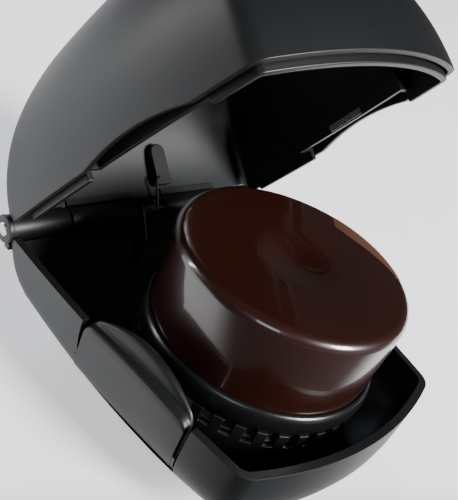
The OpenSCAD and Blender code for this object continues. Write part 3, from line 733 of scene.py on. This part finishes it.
def tab_section(u):
    """Points of inset and height round the tab at u along its chord: up its outer face, over the step
    and the lug's crest, and down inside. The lug dies away to the tab's rounded ends."""
    h = max(0.0, 1 - (u / tab_half) ** 2)
    end_r, end_drop = 2.4, 0.8
    past = max(0.0, abs(u) - tab_half + end_r) / end_r
    drop = end_r * end_drop * (1 - math.sqrt(max(0.0, 1 - past * past)))
    lug = 2.6 + (tab_lug - 0.3) * h
    face = [(lean_in(z), z) for z in (tab_floor, -13, -12, -11, -10, -8, -6, -4, -2)]
    step = [(0, 0.9 * h - 0.7), (0.12, h - 0.35), (0.5, h - 0.1), (1.2, 1.3 * h - 0.05), (1.75, 1.6 * h)]
    rise = [(2.0, (crest - 2.5) * h + 0.1), (2.2, (crest - 0.9) * h + 0.2), (2.4, (crest - 0.5) * h + 0.3),
            (2.7, (crest - 0.35) * h + 0.35)]
    fall = [(lug - 0.3, (crest - 0.4) * h + 0.33), (lug, (crest - 0.7) * h + 0.25),
            (lug + 0.1, (crest - 2) * h + 0.1)]
    inner = [(tab_wall, -3.4)] + [(tab_wall + lean_in(z), z) for z in (-6, -10, -12)]
    inner += [(tab_wall + lean_in(tab_floor) - 0.4, tab_floor)]
    dropped = [(inset, z - drop) for inset, z in step + rise + fall]
    return [(bow_at(u) + inset, z) for inset, z in face + dropped + inner]


def sleeve(loops):
    """A closed body through loops of equal length, with a flat face over each end."""
    n, last = len(loops[0]), len(loops) - 1
    faces = [(k * n + i, k * n + (i + 1) % n, (k + 1) * n + (i + 1) % n, (k + 1) * n + i)
             for k in range(last) for i in range(n)]
    ends = [tuple(range(n)), tuple(range(last * n + n - 1, last * n - 1, -1))]
    return [p for loop in loops for p in loop], faces + ends


def foot_section(u):
    """The bar along the tab's foot, a little inside its outer face."""
    bow, inside = bow_at(u), 0.02
    front = [(u, bow + lean_in(z) + inside, z) for z in (tab_floor, -12, -10)]
    return front + [(u, bow + tab_wall, -10), (u, bow + tab_wall + 1.2, tab_floor)]


def tab_body():
    stations = 40
    along = [-tab_half * math.cos(math.pi * i / stations) for i in range(stations + 1)]
    foot_half = tab_half + slit - tab_gap
    return joined(sleeve([[(u, *p) for p in tab_section(u)] for u in along]),
                  sleeve([foot_section(-foot_half), foot_section(foot_half)]))


def at_tab(side):
    """Places a point of the tab's own frame in the base, on the near (1) or the far (-1) side."""
    def place(p):
        c, s = math.cos(tab_turn), math.sin(tab_turn)
        y = -side_y(tab_mid, 0) + p[0] * s + p[1] * c
        return in_base((tab_mid + p[0] * c - p[1] * s, side * y, p[2]))

    return place


for side, name in ((1, "near"), (-1, "far")):
    make_piece("press_tab_" + name, *tab_body(), charcoal_abs, "tab_" + name, "shell", at_tab(side),
               nodes=["tab_" + name], sharp=55)

# ---- Lid lips ----
# The inner lip that drops into the base's mouth: black ABS, 1.6 mm thick, with rounded edges. It
# runs round the front and along both sides, and stops at the tabs.
lip_inset, lip_wall, lip_low, lip_root = 2.4, 1.6, -1.3, 5.2
lip_gap = (tab_mid - window_half - 0.6, tab_mid + window_half + 0.8)
lip_start, lip_round = 9, 0.35
shelf_inner, shelf_outer, shelf_low = lip_inset + 0.2, lid_wall - 0.3, lip_root - 1.2


def side_line(x0, x1, inset, steps=12):
    stops = [x0 + (x1 - x0) * i / steps for i in range(steps + 1)]
    return [(x, side_y(x, inset)) for x in stops]


def strip(x0, x1, inner, outer, low, high, side):
    outline = side_line(x0, x1, outer) + side_line(x0, x1, inner)[::-1]
    return prism([(x, side * y) for x, y in outline], low, high)


def front_line(inset):
    half = [(lip_gap[1], side_y(lip_gap[1], inset))]
    half += [(x, y) for x, y in columns(inset) if x > lip_gap[1] + 0.5 and y > 0.01]
    return half + [(shell_length - inset, 0)] + [(x, -y) for x, y in reversed(half)]


def lip_shelf(side):
    """The side lip and the shelf that joins it to the skin."""
    return joined(strip(lip_start, lip_gap[0], lip_inset + lip_wall, lip_inset, lip_low, lip_root, side),
                  strip(lip_start, lip_gap[0], shelf_inner, shelf_outer, shelf_low, lip_root, side))


make_piece("lip_front", *joined(
    prism(front_line(lip_inset) + front_line(lip_inset + lip_wall)[::-1], lip_low, lip_root),
    prism(front_line(shelf_outer) + front_line(shelf_inner)[::-1], shelf_low, lip_root)),
    black_abs, "lid", "liner", in_lid, lip_round, ["lid_lip_front"])
make_piece("lip_near", *lip_shelf(-1), black_abs, "lid", "liner", in_lid, lip_round, ["lid_lip_near"])
make_piece("lip_far", *lip_shelf(1), black_abs, "lid", "liner", in_lid, lip_round, ["lid_lip_far"])

# ---- Lid bands ----
# The recessed wall behind each notch, in the same black ABS, with a bright steel wear strip on its
# inner face.
band_inset, band_wall, band_low, band_high = 6.2, 1.4, 1.5, 7
band_back = band_inset + band_wall
strip_half, strip_low, strip_high = 6, 1.8, 3.6


def recess(side):
    """The wall along the notch, and a short one at each end that joins it to the lip."""
    ends = [strip(x, x + band_wall, band_inset + 0.2, lip_inset + 1.4, band_low, 5, side)
            for x in (lip_gap[0] - band_wall, lip_gap[1])]
    return joined(strip(lip_gap[0] - band_wall, lip_gap[1] + band_wall, band_back, band_inset,
                        band_low, band_high, side), *ends)


for side, name in ((-1, "near"), (1, "far")):
    steel = strip(tab_mid - strip_half, tab_mid + strip_half, band_back + 0.4, band_back - 0.02,
                  strip_low, strip_high, side)
    make_piece("recess_wall_" + name, *recess(side), black_abs, "lid", "liner", in_lid, 0.25,
               ["lid_band_" + name])
    make_piece("wear_strip_" + name, *steel, bright_steel, "lid", "steel", in_lid, 0.08,
               ["lid_catch_" + name])

# ---- Parts carried over from the CAD ----
# Parts that keep their designed shape: steel pins, cup, piercing plate, injection head and needle;
# rubber feet, nozzle and head seal; black ABS brackets and plinth; and what is in the capsule.
foil = worked_metal("pierced aluminium foil", 0.35)


def fibrous(name, light, dark, roughness):
    """Paper or ground coffee: matt, in two tones mixed at about 0.8 mm."""
    material, tree, shader = new_material(name, Roughness=roughness)
    place = add_node(tree, "ShaderNodeTexCoord").outputs["Object"]
    speck = 0.0008
    specks = add_node(tree, "ShaderNodeTexNoise", inputs={"Vector": place, "Scale": 1 / speck, "Detail": 4.0})
    tint = add_node(tree, "ShaderNodeMix", {"data_type": "RGBA"},
                    {0: specks.outputs["Fac"], 6: linear(dark), 7: linear(light)})
    tree.links.new(tint.outputs[2], shader.inputs["Base Color"])
    return material


carried = {
    bright_steel: ("brew_cup", "piercing_plate", "tab_pin_near", "tab_pin_far", "hinge_pin", "injection_head",
                   "injection_needle"),
    black_rubber: ("foot_pad_1", "foot_pad_2", "foot_pad_3", "foot_pad_4", "outlet_nozzle", "head_gasket"),
    black_abs: ("plinth", "tab_bracket_near", "tab_bracket_far", "head_bracket"),
    foil: ("pod_foil",),
    fibrous("filter paper", "#ded3bd", "#c9bca2", 0.9): ("pod_filter",),
    fibrous("ground coffee", "#3a2115", "#1c100a", 0.95): ("coffee_bed",),
}
for material, names in carried.items():
    for name in names:
        for place in bpy.data.objects[name].material_slots:
            place.material = material
